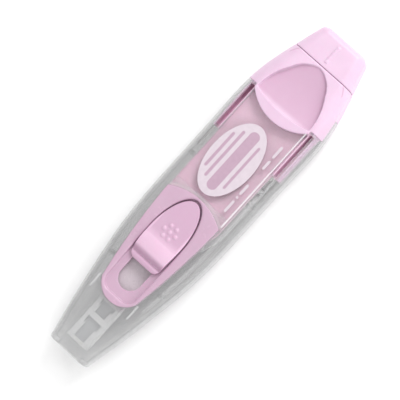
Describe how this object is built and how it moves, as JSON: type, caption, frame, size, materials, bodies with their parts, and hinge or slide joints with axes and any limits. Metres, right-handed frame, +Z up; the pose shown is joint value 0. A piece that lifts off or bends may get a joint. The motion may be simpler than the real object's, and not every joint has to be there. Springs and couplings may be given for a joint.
{
  "type": "correction tape roller",
  "caption": "Pen-shaped correction tape roller: a thumb slider pushes the tape head out of a clear case, and a pull-off tail cap covers an eraser.",
  "frame": {"origin": "middle of the pen's bounding box in plan, on the flat face it rests on", "axes": "+X from the nose to the tail cap, +Z up through the thumb button, +Y across the pen"},
  "size_m": [0.132, 0.0316, 0.0175],
  "materials": {
    "clear_case": "clear polished plastic",
    "pink_gloss": "gloss pink plastic",
    "tail_pink": "satin pink plastic",
    "cassette_pink": "satin rose plastic",
    "print": "pale printed ink",
    "frosted": "milky plastic",
    "white_gear": "white moulded plastic",
    "tape_white": "white correction film",
    "carrier": "bare carrier film",
    "ring": "soft rubber",
    "steel": "steel pin",
    "eraser": "white vinyl eraser",
    "roller": "soft pale roller"
  },
  "bodies": {
    "case": {"shell_lower": "clear_case", "shell_upper": "clear_case", "slider_bezel": "pink_gloss", "label_badge": "print", "tail_housing": "tail_pink", "eraser_holder": "tail_pink", "eraser": "eraser"},
    "cap": {"end_cap": "tail_pink"},
    "cassette": {"carriage_base": "frosted", "carriage_cover": "cassette_pink", "thumb_button": "pink_gloss", "tape_head": "frosted", "tip_pin": "steel", "tape_feed": "tape_white", "tape_return": "carrier"},
    "supply_reel": {"supply_spool": "white_gear", "supply_disc": "frosted", "supply_tape": "tape_white", "supply_gear": "white_gear", "clutch_ring": "ring"},
    "takeup_reel": {"takeup_spool": "white_gear", "takeup_disc": "frosted", "takeup_tape": "carrier", "takeup_gear": "white_gear"},
    "idler": {"idler_gear": "white_gear"},
    "tip": {"tip_roller": "roller"}
  },
  "joints": [
    {"name": "cassette_slide", "type": "slide", "parent": "case", "child": "cassette", "axis": [-1, 0, 0], "range_m": [0, 0.0115]},
    {"name": "supply_spin", "type": "hinge", "parent": "cassette", "child": "supply_reel", "pos_m": [0.021, 0, 0.0085], "axis": [0, 0, 1], "continuous": true},
    {"name": "idler_spin", "type": "hinge", "parent": "cassette", "child": "idler", "pos_m": [0.00748, -0.00577, 0.0041], "axis": [0, 0, 1], "continuous": true},
    {"name": "takeup_spin", "type": "hinge", "parent": "cassette", "child": "takeup_reel", "pos_m": [0, 0, 0.0085], "axis": [0, 0, 1], "continuous": true},
    {"name": "tip_spin", "type": "hinge", "parent": "cassette", "child": "tip", "pos_m": [-0.0606, 0, 0.0085], "axis": [0, 1, 0], "continuous": true},
    {"name": "cap_pull", "type": "slide", "parent": "case", "child": "cap", "axis": [1, 0, 0], "range_m": [0, 0.016]}
  ],
  "couplings": [
    {"joint": "idler_spin", "follows": "supply_spin", "ratio": -2.5},
    {"joint": "takeup_spin", "follows": "supply_spin", "ratio": 2},
    {"joint": "tip_spin", "follows": "supply_spin", "ratio": 9.5455}
  ]
}
